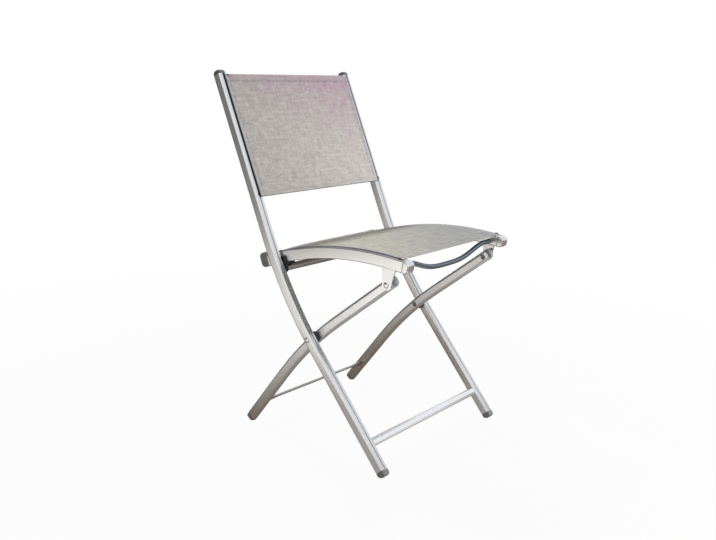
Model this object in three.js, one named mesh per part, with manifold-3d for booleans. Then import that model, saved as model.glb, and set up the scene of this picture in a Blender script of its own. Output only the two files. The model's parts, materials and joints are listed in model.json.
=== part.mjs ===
// Folding garden chair: a bent aluminium frame with two stretched textile slings.
// Millimetres, Z up. The sitter faces -Y, so the chair's right side is at -X.
// Each side piece is modelled once, on the right, and mirrored for the left.
import * as THREE from "three";
import { mergeVertices } from "three/addons/utils/BufferGeometryUtils.js";
import Module from "manifold-3d";

const radians = THREE.MathUtils.degToRad;

// Clearances
const SEAT_GAP = 0.3; // between pieces that touch
const SLIDE_GAP = 0.4; // between the slider and the rail it runs on

// Posts: each is a front leg and a back upright in one bent extrusion
const CHAIR_WIDTH = 450; // over the posts' outer faces
const POST_WIDTH = 21;
const POST_DEPTH = 22;
const POST_CORNER = 5;
const POST_FOOT_Y = -245.5; // where the centre line meets the floor
const POST_TOP_HEIGHT = 796; // end of the tube, under its cap
const POST_LOWER_LEAN = radians(40.8);
const POST_UPPER_LEAN = radians(24.4);
const POST_BEND_HEIGHT = 336; // where the two straight runs would cross
const POST_BEND_RADIUS = 985;
const POST_CAP_LENGTH = 10;
const WALL = 1.5; // of every extrusion and tube

// Sail track: the keyhole groove that holds a sling's edge
const TRACK_SLOT = 2.4;
const TRACK_DIAMETER = 7.4;
const TRACK_DEPTH = 6; // from the face to the middle of the round channel
const SPLINE_DIAMETER = 5;

// Crossbars of the frame
const STRETCHER_DIAMETER = 18.5;
const STRETCHER_HEIGHT = 57.5;
const CROSSBAR_DIAMETER = 16;
const CROSSBAR_HEIGHT = 390;

// End caps: each is rounded over a nose, and plugged into its tube by a spigot
const CAP_NOSE = 9;
const SPIGOT_LENGTH = 12;

// Feet and their flat where they stand
const FOOT_LENGTH = 14;
const FOOT_FLAT_DEPTH = 6; // how much of the lower corner the floor takes off
const FOOT_NOSE = 6.5; // no less than the corners of the tubes

// Rear legs
const LEG_THICKNESS = 16;
const LEG_WIDTH = 24;
const LEG_CORNER = 6;
const LEG_LOWER_SLOPE = radians(53);
const LEG_UPPER_SLOPE = radians(38.9);
const LEG_BEND_RADIUS = 880;
const LEG_BEND_ABOVE = 70; // part of the bend above the pivot, along the leg
const PIVOT_HEIGHT = 251; // pivot of post and leg
const LEG_END_REACH = 14; // tube beyond the bracket's pivot
const LEG_CAP_LENGTH = 8;
const ROD_HEIGHT = 55.5;
const ROD_DIAMETER = 6;
const ROD_TAIL_LENGTH = 42; // the rod's flattened ends
const ROD_TAIL_WIDTH = 17;
const ROD_TAIL_THICKNESS = 4;

// Pivot rivets
const RIVET_SHANK = 8;
const RIVET_HEAD = 13;
const RIVET_HEAD_HEIGHT = 2.4;
const RIVET_TAIL = 11;
const RIVET_TAIL_HEIGHT = 2;
const ACCESS_HOLE = 12.5; // in a leg's inner wall, to form the rivet's tail
const PIVOT_HEAD_HEIGHT = 1.4;
const SPACER_LENGTH = 15; // along the leg, whose full width it takes

// Seat rails: one circular arc each
const RAIL_WIDTH = 24;
const RAIL_HEIGHT = 25;
const RAIL_CORNER = 2.6;
const RAIL_RADIUS = 745; // of the centre line
const RAIL_TILT = radians(18.5); // slope over the crossbar
const RAIL_OVERHANG = 33.4; // along the centre line, bracket pivot to front end
const RAIL_TAIL = 44; // crossbar to rear end
const RAIL_SIDE_GAP = 4.6; // between rail and post
const RAIL_TRACK_SHIFT = 5; // sail track towards the outer side
const RAIL_FRONT_CAP_LENGTH = 14;
const RAIL_REAR_CAP_LENGTH = 22;
const RAIL_REAR_CAP_RISE = 8; // of the rear cap above the rail's top

// Tee slot under the rail, and the slider that runs in it
const TEE_MOUTH = 9;
const TEE_WIDTH = 15;
const TEE_LIP = 2.2;
const TEE_HEIGHT = 5.5;
const SADDLE = 3.6; // from the crossbar up to the rail
const SLIDER_LENGTH = 28;
const CHEEK_RISE = 15; // above the rail's underside

// Seat bracket, the plate that hangs each rail on its leg
const BRACKET_THICKNESS = 3.4;
const BRACKET_LUG_RADIUS = 10;
const BRACKET_DROP = 34.1; // from the rail's underside down to the bracket's pivot
const BRACKET_NECK = 27;
const BRACKET_ROOT = 38;
const BRACKET_HEEL = 4; // the root behind the lug

// Front bow between the rails
const BOW_DIAMETER = 11;
const BOW_SETBACK = 22; // behind the rail's front end, along its centre line
const BOW_DROP = 5; // below the rail's centre line
const BOW_DIP = 25;
const BOW_DIP_WIDTH = 310;
const BOW_FLATNESS = 1.6; // 1 for a plain wave, more for a longer level middle
const BOW_SOCKET = 3; // depth in the rail's inner side

// Slings
const SLING_THICKNESS = 1.2;
const BACK_SLING_LENGTH = 284;
const BACK_SLING_TOP = 1; // below the post tube's end
const SPREADER_DIAMETER = 9;
const HEM_THICKNESS = 1;
const SEAT_SLING_FRONT = 6; // behind the rail's front end
const SEAT_SLING_REAR = 12; // behind the crossbar

// Places across the chair, as distances from its middle
const POST_X = (CHAIR_WIDTH - POST_WIDTH) / 2;
const POST_INNER = POST_X - POST_WIDTH / 2;
const RAIL_OUTER = POST_INNER - RAIL_SIDE_GAP;
const RAIL_X = RAIL_OUTER - RAIL_WIDTH / 2;
const RAIL_INNER = RAIL_X - RAIL_WIDTH / 2;
const BRACKET_INNER = RAIL_OUTER - BRACKET_THICKNESS;
const LEG_OUTER = BRACKET_INNER - SEAT_GAP;
const LEG_X = LEG_OUTER - LEG_THICKNESS / 2;
const LEG_INNER = LEG_OUTER - LEG_THICKNESS;
const TRACK_X = RAIL_X + RAIL_TRACK_SHIFT;

const wasm = await Module();
wasm.setup();

function toSolid(geometry) {
  const bare = geometry.clone();
  bare.deleteAttribute("normal");
  bare.deleteAttribute("uv");
  const merged = mergeVertices(bare, 1e-3);
  return new wasm.Manifold(
    new wasm.Mesh({
      numProp: 3,
      vertProperties: new Float32Array(merged.attributes.position.array),
      triVerts: new Uint32Array(merged.index.array),
    }),
  );
}

function toGeometry(solid) {
  const mesh = solid.getMesh();
  const geometry = new THREE.BufferGeometry();
  geometry.setAttribute("position", new THREE.BufferAttribute(mesh.vertProperties, 3));
  geometry.setIndex(new THREE.BufferAttribute(mesh.triVerts, 1));
  geometry.computeVertexNormals();
  return geometry;
}

function join(...geometries) {
  return toGeometry(geometries.map(toSolid).reduce((whole, piece) => whole.add(piece)));
}

function cut(geometry, ...tools) {
  return toGeometry(tools.map(toSolid).reduce((whole, tool) => whole.subtract(tool), toSolid(geometry)));
}

// A side-view point is a Vector2 of (y, z), and a heading is an angle up from +Y.
function along(heading, length) {
  return new THREE.Vector2(Math.cos(heading), Math.sin(heading)).multiplyScalar(length);
}

// A path in a side-view plane, walked from its start. It has stations only where its direction changes.
class SidePath extends THREE.Curve {
  constructor(x, start, heading) {
    super();
    this.x = x;
    this.end = start.clone();
    this.heading = heading;
    this.stations = [];
    this.mark();
  }

  mark() {
    const direction = along(this.heading, 1);
    this.stations.push({
      point: new THREE.Vector3(this.x, this.end.x, this.end.y),
      tangent: new THREE.Vector3(0, direction.x, direction.y),
    });
  }

  straight(length) {
    this.end.add(along(this.heading, length));
    this.mark();
    return this;
  }

  bend(radius, angle, steps) {
    const turn = angle / steps;
    const chord = 2 * radius * Math.sin(Math.abs(turn) / 2);
    for (let i = 0; i < steps; i += 1) {
      this.end.add(along(this.heading + turn / 2, chord));
      this.heading += turn;
      this.mark();
    }
    return this;
  }

  station(u) {
    return this.stations[Math.round(u * (this.stations.length - 1))];
  }

  getPointAt(u, target = new THREE.Vector3()) {
    return target.copy(this.station(u).point);
  }

  getTangentAt(u, target = new THREE.Vector3()) {
    return target.copy(this.station(u).tangent);
  }
}

// A swept section's x runs to -X, and its y to the left of the path seen from the chair's left side.
function sweep(shape, path, curveSegments = 2) {
  return new THREE.ExtrudeGeometry(shape, {
    steps: path.stations.length - 1,
    extrudePath: path,
    curveSegments,
  });
}

// Closed outline through corners [x, y, radius], each rounded to its radius.
function roundedOutline(corners, outline = new THREE.Shape()) {
  corners.forEach(([x, y, radius = 0], i) => {
    const corner = new THREE.Vector2(x, y);
    const [lastX, lastY] = corners.at(i - 1);
    const [nextX, nextY] = corners[(i + 1) % corners.length];
    if (!radius && i === 0) outline.moveTo(x, y);
    if (!radius && i > 0) outline.lineTo(x, y);
    if (!radius) return;
    const back = new THREE.Vector2(lastX, lastY).sub(corner).normalize();
    const ahead = new THREE.Vector2(nextX, nextY).sub(corner).normalize();
    const half = Math.acos(THREE.MathUtils.clamp(back.dot(ahead), -1, 1)) / 2;
    const middle = back.clone().add(ahead).normalize();
    const centre = corner.clone().addScaledVector(middle, radius / Math.sin(half));
    const start = corner.clone().addScaledVector(back, radius / Math.tan(half)).sub(centre);
    const stop = corner.clone().addScaledVector(ahead, radius / Math.tan(half)).sub(centre);
    const clockwise = back.cross(ahead) > 0;
    outline.absarc(centre.x, centre.y, radius, start.angle(), stop.angle(), clockwise);
  });
  outline.closePath();
  return outline;
}

function rectangle(width, height, corner = 0, outline = new THREE.Shape()) {
  const right = width / 2;
  const top = height / 2;
  const corners = [
    [-right, -top, corner],
    [right, -top, corner],
    [right, top, corner],
    [-right, top, corner],
  ];
  return roundedOutline(corners, outline);
}

// The sail track's outline in a face at height y, walked from right to left.
function trackNotch(x, y) {
  const radius = TRACK_DIAMETER / 2;
  const mouth = Math.asin(TRACK_SLOT / TRACK_DIAMETER);
  const sides = 7;
  const notch = [[x + TRACK_SLOT / 2, y]];
  for (let i = 0; i <= sides; i += 1) {
    const angle = Math.PI / 2 - mouth - (i / sides) * (2 * Math.PI - 2 * mouth);
    notch.push([x + radius * Math.cos(angle), y - TRACK_DEPTH + radius * Math.sin(angle)]);
  }
  notch.push([x - TRACK_SLOT / 2, y]);
  return notch;
}

// The tee slot's outline in a face at height y, walked from left to right.
function teeNotch(y) {
  const mouth = TEE_MOUTH / 2;
  const width = TEE_WIDTH / 2;
  const floor = y + TEE_LIP;
  const roof = floor + TEE_HEIGHT;
  return [
    [-mouth, y],
    [-mouth, floor],
    [-width, floor],
    [-width, roof],
    [width, roof],
    [width, floor],
    [mouth, floor],
    [mouth, y],
  ];
}

// Half the width of the wall round a sail track, and how far below the face that wall reaches.
const TRACK_GUARD = TRACK_DIAMETER / 2 + WALL;
const TRACK_FLOOR = TRACK_DEPTH + TRACK_GUARD;

// Post section, its front face and sail track at +y.
function postSection() {
  const right = POST_WIDTH / 2;
  const front = POST_DEPTH / 2;
  const shape = roundedOutline([
    [-right, -front, POST_CORNER],
    [right, -front, POST_CORNER],
    [right, front, POST_CORNER],
    ...trackNotch(0, front),
    [-right, front, POST_CORNER],
  ]);
  const inner = right - WALL;
  const rear = front - WALL;
  const corner = POST_CORNER - WALL;
  const hollow = [
    [-inner, -rear, corner],
    [inner, -rear, corner],
    [inner, rear, corner],
    [TRACK_GUARD, rear],
    [TRACK_GUARD, front - TRACK_FLOOR],
    [-TRACK_GUARD, front - TRACK_FLOOR],
    [-TRACK_GUARD, rear],
    [-inner, rear, corner],
  ];
  shape.holes.push(roundedOutline(hollow, new THREE.Path()));
  return shape;
}

// The rail's hollow between the roof of its tee slot and the wall under its sail track.
const RAIL_HOLLOW_LOW = -RAIL_HEIGHT / 2 + TEE_LIP + TEE_HEIGHT + WALL;
const RAIL_HOLLOW_HIGH = RAIL_HEIGHT / 2 - TRACK_FLOOR;

// Rail section, its top at +y and its outer side at +x.
function railSection() {
  const outer = RAIL_WIDTH / 2;
  const top = RAIL_HEIGHT / 2;
  const shape = roundedOutline([
    [-outer, -top, RAIL_CORNER],
    ...teeNotch(-top),
    [outer, -top, RAIL_CORNER],
    [outer, top, RAIL_CORNER],
    ...trackNotch(RAIL_TRACK_SHIFT, top),
    [-outer, top, RAIL_CORNER],
  ]);
  const side = outer - WALL;
  const guard = RAIL_TRACK_SHIFT - TRACK_GUARD;
  const hollow = [
    [-side, RAIL_HOLLOW_LOW],
    [side, RAIL_HOLLOW_LOW],
    [side, RAIL_HOLLOW_HIGH],
    [guard, RAIL_HOLLOW_HIGH],
    [guard, top - WALL],
    [-side, top - WALL, RAIL_CORNER - WALL],
  ];
  shape.holes.push(roundedOutline(hollow, new THREE.Path()));
  return shape;
}

function legSection() {
  const shape = rectangle(LEG_THICKNESS, LEG_WIDTH, LEG_CORNER);
  const hole = [LEG_THICKNESS - 2 * WALL, LEG_WIDTH - 2 * WALL, LEG_CORNER - WALL];
  shape.holes.push(rectangle(...hole, new THREE.Path()));
  return shape;
}

// Round bar along X between two places, at a side-view point.
function crossBar(diameter, fromX, toX, at, sides = 24) {
  const bar = new THREE.CylinderGeometry(diameter / 2, diameter / 2, toX - fromX, sides);
  bar.rotateZ(Math.PI / 2);
  return bar.translate((fromX + toX) / 2, at.x, at.y);
}

// Round tube along X, open at both ends.
function crossTube(diameter, halfLength, at) {
  const ring = new THREE.Shape().absarc(0, 0, diameter / 2, 0, 2 * Math.PI);
  ring.holes.push(new THREE.Path().absarc(0, 0, diameter / 2 - WALL, 0, 2 * Math.PI));
  const tube = new THREE.ExtrudeGeometry(ring, {
    depth: 2 * halfLength,
    bevelEnabled: false,
    curveSegments: 12,
  });
  tube.translate(0, 0, -halfLength).rotateY(Math.PI / 2);
  return tube.translate(0, at.x, at.y);
}

// Plate of a side-view outline between two places across the chair, given from the inside out.
function sidePlate(corners, inner, outer) {
  const plate = new THREE.ExtrudeGeometry(roundedOutline(corners), {
    depth: outer - inner,
    bevelEnabled: false,
    curveSegments: 4,
  });
  plate.rotateY(Math.PI / 2).rotateX(Math.PI / 2);
  return plate.translate(-outer, 0, 0);
}

function box(fromX, toX, fromY, toY, fromZ, toZ) {
  const block = new THREE.BoxGeometry(toX - fromX, toY - fromY, toZ - fromZ);
  return block.translate((fromX + toX) / 2, (fromY + toY) / 2, (fromZ + toZ) / 2);
}

// Turned piece about X from a profile of [radius, distance inwards], outermost point first.
function turned(profile, outerX, at) {
  const points = profile.map(([radius, depth]) => new THREE.Vector2(radius, depth));
  const piece = new THREE.LatheGeometry(points, 16);
  piece.rotateZ(-Math.PI / 2);
  return piece.translate(-outerX, at.x, at.y);
}

// End cap on a section of the given size: its base at z = 0, its far end rounded, its spigot below.
// It can rise above the section on its -y side, which is the top at a rail's rear end.
function endCap(width, height, corner, length, nose, spigot, rise = 0) {
  const bottom = -height / 2 - rise;
  const sideView = roundedOutline([
    [bottom, -2 * corner],
    [height / 2, -2 * corner],
    [height / 2, length, nose],
    [bottom, length, nose],
  ]);
  const head = new THREE.ExtrudeGeometry(sideView, {
    depth: width - 2 * corner,
    bevelThickness: corner,
    bevelSize: corner,
    bevelOffset: -corner,
    bevelSegments: 2,
    curveSegments: 3,
  });
  head.rotateY(Math.PI / 2).rotateX(Math.PI / 2).translate(corner - width / 2, 0, 0);
  const below = box(-width, width, bottom - corner, height, -3 * corner, 0);
  const plug = box(
    spigot.x - spigot.width / 2 + SEAT_GAP,
    spigot.x + spigot.width / 2 - SEAT_GAP,
    spigot.y - spigot.height / 2 + SEAT_GAP,
    spigot.y + spigot.height / 2 - SEAT_GAP,
    -spigot.length,
    length / 4,
  );
  return join(cut(head, below), plug);
}

// Sets an end cap on a path's last station, or on its first one facing back, clear of the tube.
function onEnd(cap, path, last) {
  const { point, tangent } = path.stations.at(last ? -1 : 0);
  const outward = tangent.clone().multiplyScalar(last ? 1 : -1);
  const base = point.clone().addScaledVector(outward, SEAT_GAP);
  const placed = cap.clone();
  placed.rotateX(Math.atan2(-outward.y, outward.z));
  return placed.translate(base.x, base.y, base.z);
}

const FLOOR = box(-CHAIR_WIDTH, CHAIR_WIDTH, -CHAIR_WIDTH, CHAIR_WIDTH, -CHAIR_WIDTH, 0);

// Height along a leaning tube at which its square foot starts, so that the floor takes off a flat.
function footStart(lean, depth) {
  const endFace = (depth / 2) * Math.tan(lean) - FOOT_FLAT_DEPTH / Math.cos(lean);
  return endFace + FOOT_LENGTH;
}

// Post centre line
const lowerHeading = Math.PI / 2 - POST_LOWER_LEAN;
const upperHeading = Math.PI / 2 - POST_UPPER_LEAN;
const postBend = POST_LOWER_LEAN - POST_UPPER_LEAN;
const postTangent = POST_BEND_RADIUS * Math.tan(postBend / 2);
const postFloor = new THREE.Vector2(POST_FOOT_Y, 0);
const postFootStart = footStart(POST_LOWER_LEAN, POST_DEPTH);
const postLowerRun = POST_BEND_HEIGHT / Math.cos(POST_LOWER_LEAN) - postTangent;
const bendStart = postFloor.clone().add(along(lowerHeading, postLowerRun));
const bendCentre = bendStart.clone().add(along(lowerHeading + Math.PI / 2, POST_BEND_RADIUS));
const postUpperRun = (POST_TOP_HEIGHT - POST_BEND_HEIGHT) / Math.cos(POST_UPPER_LEAN) - postTangent;
const postStart = postFloor.clone().add(along(lowerHeading, postFootStart));
const postPath = new SidePath(-POST_X, postStart, lowerHeading)
  .straight(postLowerRun - postFootStart)
  .bend(POST_BEND_RADIUS, postBend, 8)
  .straight(postUpperRun);

// Point at a height on the straight line through another point.
function atHeight(height, through, heading) {
  return through.clone().add(along(heading, (height - through.y) / Math.sin(heading)));
}

// Point where a straight line leaves a circle.
function crossing(through, heading, centre, radius) {
  const middle = centre.clone().sub(through).dot(along(heading, 1));
  const nearest = through.clone().add(along(heading, middle)).distanceTo(centre);
  return through.clone().add(along(heading, middle + Math.sqrt(radius ** 2 - nearest ** 2)));
}

// Height of the rail's centre line at a place along the chair.
function railHeight(y) {
  return railCentre.y + Math.sqrt(RAIL_RADIUS ** 2 - (y - railCentre.x) ** 2);
}

// Side-view point of the post's centre line at a height.
function postAt(height) {
  const bendEnd = bendCentre.clone().add(along(upperHeading - Math.PI / 2, POST_BEND_RADIUS));
  if (height < bendStart.y) return atHeight(height, bendStart, lowerHeading);
  if (height > bendEnd.y) return atHeight(height, bendEnd, upperHeading);
  const drop = bendCentre.y - height;
  return new THREE.Vector2(bendCentre.x + Math.sqrt(POST_BEND_RADIUS ** 2 - drop ** 2), height);
}

const pivot = postAt(PIVOT_HEIGHT);
const crossbarAt = postAt(CROSSBAR_HEIGHT);
const stretcherAt = postAt(STRETCHER_HEIGHT);

// Rail arc's centre: the rail rests on the slider's saddle over the crossbar
const saddleRadius = RAIL_RADIUS - RAIL_HEIGHT / 2 - SADDLE - CROSSBAR_DIAMETER / 2;
const railCentre = crossbarAt.clone().add(along(Math.PI / 2 - RAIL_TILT, -saddleRadius));

// Leg centre line
const legUpperHeading = Math.PI - LEG_UPPER_SLOPE;
const legLowerHeading = Math.PI - LEG_LOWER_SLOPE;
const legBend = LEG_LOWER_SLOPE - LEG_UPPER_SLOPE;
const pivotHeading = legUpperHeading - LEG_BEND_ABOVE / LEG_BEND_RADIUS;
const legCentre = pivot.clone().add(along(pivotHeading + Math.PI / 2, LEG_BEND_RADIUS));
const legBendLow = legCentre.clone().add(along(legLowerHeading - Math.PI / 2, LEG_BEND_RADIUS));
const legBendHigh = legCentre.clone().add(along(legUpperHeading - Math.PI / 2, LEG_BEND_RADIUS));
const legFloor = atHeight(0, legBendLow, legLowerHeading);
const legFootStart = footStart(Math.PI / 2 - LEG_LOWER_SLOPE, LEG_WIDTH);
const bracketRadius = RAIL_RADIUS - RAIL_HEIGHT / 2 - BRACKET_DROP;
const bracketPivot = crossing(legBendHigh, legUpperHeading, railCentre, bracketRadius);
const bracketHeading = bracketPivot.clone().sub(railCentre).angle();
const railReach = (bracketHeading - Math.PI / 2 + RAIL_TILT) * RAIL_RADIUS + RAIL_OVERHANG;
const legStart = legFloor.clone().add(along(legLowerHeading, legFootStart));
const legPath = new SidePath(-LEG_X, legStart, legLowerHeading)
  .straight(legStart.distanceTo(legBendLow))
  .bend(LEG_BEND_RADIUS, legBend, 6)
  .straight(legBendHigh.distanceTo(bracketPivot) + LEG_END_REACH);
const rodAt = atHeight(ROD_HEIGHT, legFloor, legLowerHeading);

// Arc of the rail's centre line, between two distances measured back from the crossbar.
function railArc(x, from, to, steps) {
  const startAngle = RAIL_TILT + from / RAIL_RADIUS;
  const start = railCentre.clone().add(along(Math.PI / 2 - startAngle, RAIL_RADIUS));
  return new SidePath(x, start, -startAngle).bend(RAIL_RADIUS, (from - to) / RAIL_RADIUS, steps);
}

const railPath = railArc(-RAIL_X, -railReach, RAIL_TAIL, 10);

// Materials
function finish(colour, roughness, metalness) {
  return () => new THREE.MeshStandardMaterial({ color: colour, roughness, metalness });
}
const anodised = finish(0xb4b6b8, 0.38, 0.85);
const brightRivet = finish(0xd2d2d0, 0.3, 0.9);
const bluedSteel = finish(0x5a6472, 0.45, 0.6);
const darkPlastic = finish(0x5c5d5f, 0.6, 0);
const blackPlastic = finish(0x1d1f24, 0.55, 0);
const palePlastic = finish(0xb9c0c6, 0.5, 0);
const textile = finish(0xb0aca6, 0.9, 0);
const cordPlastic = finish(0x8a8783, 0.7, 0);

const frame = new THREE.Group();
const legs = new THREE.Group();
const sliders = new THREE.Group();
const seat = new THREE.Group();

function add(group, name, geometry, material) {
  const mesh = new THREE.Mesh(geometry, material());
  mesh.name = name;
  group.add(mesh);
  return mesh;
}

function addPair(group, name, geometry, material) {
  add(group, `right_${name}`, geometry, material);
  add(group, `left_${name}`, geometry, material).scale.x = -1;
}

// Posts, with a hole at the pivot through both walls
const shankHole = RIVET_SHANK + 2 * SEAT_GAP;
const postHole = crossBar(shankHole, -CHAIR_WIDTH, -POST_INNER + WALL, pivot, 16);
addPair(frame, "post", cut(sweep(postSection(), postPath), postHole), anodised);

// The post's hollow behind its sail track takes the spigots of its cap and foot.
const postSpigot = {
  x: 0,
  width: POST_WIDTH - 2 * WALL - 2 * (POST_CORNER - WALL) * (1 - Math.SQRT1_2),
  height: POST_DEPTH - WALL - TRACK_FLOOR - (POST_CORNER - WALL) * (1 - Math.SQRT1_2),
  length: SPIGOT_LENGTH,
};
const postSpigotY = (POST_DEPTH / 2 - TRACK_FLOOR) - postSpigot.height / 2;
const postCap = endCap(POST_WIDTH, POST_DEPTH, POST_CORNER, POST_CAP_LENGTH, CAP_NOSE, {
  ...postSpigot,
  y: -postSpigotY,
});
addPair(frame, "post_cap", onEnd(postCap, postPath, true), darkPlastic);
const frontFoot = endCap(POST_WIDTH, POST_DEPTH, POST_CORNER, FOOT_LENGTH - SEAT_GAP, FOOT_NOSE, {
  ...postSpigot,
  y: postSpigotY,
});
addPair(frame, "front_foot", cut(onEnd(frontFoot, postPath, false), FLOOR), darkPlastic);

add(frame, "front_stretcher", crossTube(STRETCHER_DIAMETER, POST_INNER - SEAT_GAP, stretcherAt), anodised);
add(frame, "seat_crossbar", crossTube(CROSSBAR_DIAMETER, POST_INNER - SEAT_GAP, crossbarAt), anodised);

// Pivot of post and leg: the rivet's tail is formed inside the leg, through the access hole.
const pivotOuter = CHAIR_WIDTH / 2 + SEAT_GAP + RIVET_HEAD_HEIGHT;
const tailDepth = pivotOuter - LEG_OUTER + WALL + SEAT_GAP;
const pivotRivet = turned(
  [
    [0, 0],
    [RIVET_HEAD * 0.3, RIVET_HEAD_HEIGHT * 0.12],
    [RIVET_HEAD * 0.46, RIVET_HEAD_HEIGHT * 0.6],
    [RIVET_HEAD / 2, RIVET_HEAD_HEIGHT],
    [RIVET_SHANK / 2, RIVET_HEAD_HEIGHT],
    [RIVET_SHANK / 2, tailDepth],
    [RIVET_TAIL / 2, tailDepth],
    [RIVET_TAIL / 2, tailDepth + RIVET_TAIL_HEIGHT],
    [0, tailDepth + RIVET_TAIL_HEIGHT],
  ],
  pivotOuter,
  pivot,
);
addPair(frame, "pivot_rivet", pivotRivet, brightRivet);
const spacerPlate = box(
  -POST_INNER + SEAT_GAP,
  -LEG_OUTER - SEAT_GAP,
  -SPACER_LENGTH / 2,
  SPACER_LENGTH / 2,
  -LEG_WIDTH / 2,
  LEG_WIDTH / 2,
);
spacerPlate.rotateX(pivotHeading).translate(0, pivot.x, pivot.y);
const spacerHole = crossBar(shankHole, -CHAIR_WIDTH, 0, pivot, 16);
addPair(legs, "pivot_spacer", cut(spacerPlate, spacerHole), blackPlastic);

// A sling's section across the chair: a flat sheet over both faces, its edges turned into the tracks.
function slingSection(trackX, face) {
  const half = SLING_THICKNESS / 2;
  const under = face + SEAT_GAP;
  const edge = face - TRACK_DEPTH + SPLINE_DIAMETER / 2 + SEAT_GAP;
  return roundedOutline([
    [-trackX - half, edge],
    [-trackX + half, edge],
    [-trackX + half, under],
    [trackX - half, under],
    [trackX - half, edge],
    [trackX + half, edge],
    [trackX + half, under + SLING_THICKNESS],
    [-trackX - half, under + SLING_THICKNESS],
  ]);
}

// Back sling: its top is hemmed round the spreader bar between the posts.
const backStart = postPath.end.clone().add(along(upperHeading, -BACK_SLING_TOP - BACK_SLING_LENGTH));
const backPath = new SidePath(0, backStart, upperHeading).straight(BACK_SLING_LENGTH);
const hemOuter = SPREADER_DIAMETER + 2 * SEAT_GAP + 2 * HEM_THICKNESS;
const spreaderFront = POST_DEPTH / 2 + SEAT_GAP + HEM_THICKNESS - hemOuter / 2;
const spreaderAt = backPath.end
  .clone()
  .add(along(upperHeading, -hemOuter / 2))
  .add(along(upperHeading + Math.PI / 2, spreaderFront));
const hemEnd = POST_INNER - 3 * SEAT_GAP;
const hem = crossBar(hemOuter, -hemEnd, hemEnd, spreaderAt);
const pocket = crossBar(SPREADER_DIAMETER + 2 * SEAT_GAP, -POST_X, POST_X, spreaderAt);
const backSheet = sweep(slingSection(POST_X, POST_DEPTH / 2), backPath);
add(frame, "back_sling", cut(join(backSheet, hem), pocket), textile);
add(frame, "back_spreader", crossTube(SPREADER_DIAMETER, POST_INNER - SEAT_GAP, spreaderAt), bluedSteel);

const splineSection = new THREE.Shape().absarc(0, 0, SPLINE_DIAMETER / 2, 0, 2 * Math.PI);
const splineStart = backStart.clone().add(along(upperHeading + Math.PI / 2, POST_DEPTH / 2 - TRACK_DEPTH));
const splinePath = new SidePath(-POST_X, splineStart, upperHeading).straight(BACK_SLING_LENGTH);
addPair(frame, "back_spline", sweep(splineSection, splinePath, 5), cordPlastic);

// Rear legs: a rivet hole in the outer wall and an access hole in the inner wall at both pivots
const legHoles = [pivot, bracketPivot].flatMap((at) => [
  crossBar(shankHole, -LEG_OUTER - WALL, -LEG_X, at, 16),
  crossBar(ACCESS_HOLE, -LEG_X, -LEG_INNER + WALL, at, 20),
]);
addPair(legs, "rear_leg", cut(sweep(legSection(), legPath), ...legHoles), anodised);
const legSpigot = {
  x: 0,
  y: 0,
  width: LEG_THICKNESS - 2 * WALL - 2 * (LEG_CORNER - WALL) * (1 - Math.SQRT1_2),
  height: LEG_WIDTH - 2 * WALL - 2 * (LEG_CORNER - WALL) * (1 - Math.SQRT1_2),
  length: LEG_END_REACH - RIVET_TAIL / 2 - WALL,
};
const legCap = endCap(LEG_THICKNESS, LEG_WIDTH, LEG_CORNER, LEG_CAP_LENGTH, CAP_NOSE, legSpigot);
addPair(legs, "leg_cap", onEnd(legCap, legPath, true), palePlastic);
const rearFoot = endCap(LEG_THICKNESS, LEG_WIDTH, LEG_CORNER, FOOT_LENGTH - SEAT_GAP, FOOT_NOSE, legSpigot);
addPair(legs, "rear_foot", cut(onEnd(rearFoot, legPath, false), FLOOR), darkPlastic);

// Rod between the legs, its ends flattened into tails that lie along the legs
const rodEnd = LEG_INNER - SEAT_GAP;
const tailOutline = roundedOutline([
  [-rodEnd, -ROD_TAIL_WIDTH / 2],
  [-rodEnd + ROD_TAIL_LENGTH, -ROD_DIAMETER / 2],
  [-rodEnd + ROD_TAIL_LENGTH, ROD_DIAMETER / 2],
  [-rodEnd, ROD_TAIL_WIDTH / 2],
]);
const rodTail = new THREE.ExtrudeGeometry(tailOutline, { depth: ROD_TAIL_THICKNESS, bevelEnabled: false });
rodTail.translate(0, 0, -ROD_TAIL_THICKNESS / 2);
rodTail.rotateX(legLowerHeading).translate(0, rodAt.x, rodAt.y);
const otherTail = rodTail.clone().translate(0, -rodAt.x, -rodAt.y).rotateY(Math.PI);
otherTail.rotateX(2 * legLowerHeading).translate(0, rodAt.x, rodAt.y);
add(legs, "rear_rod", join(crossBar(ROD_DIAMETER, -rodEnd, rodEnd, rodAt, 12), rodTail, otherTail), anodised);

// The bracket's pivot is parted between leg and bracket: this half stays in the leg.
const legPin = turned(
  [
    [0, 0],
    [RIVET_SHANK / 2, 0],
    [RIVET_SHANK / 2, WALL + SEAT_GAP],
    [RIVET_TAIL / 2, WALL + SEAT_GAP],
    [RIVET_TAIL / 2, WALL + SEAT_GAP + RIVET_TAIL_HEIGHT],
    [0, WALL + SEAT_GAP + RIVET_TAIL_HEIGHT],
  ],
  LEG_OUTER,
  bracketPivot,
);
addPair(legs, "leg_pin", legPin, brightRivet);

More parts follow.
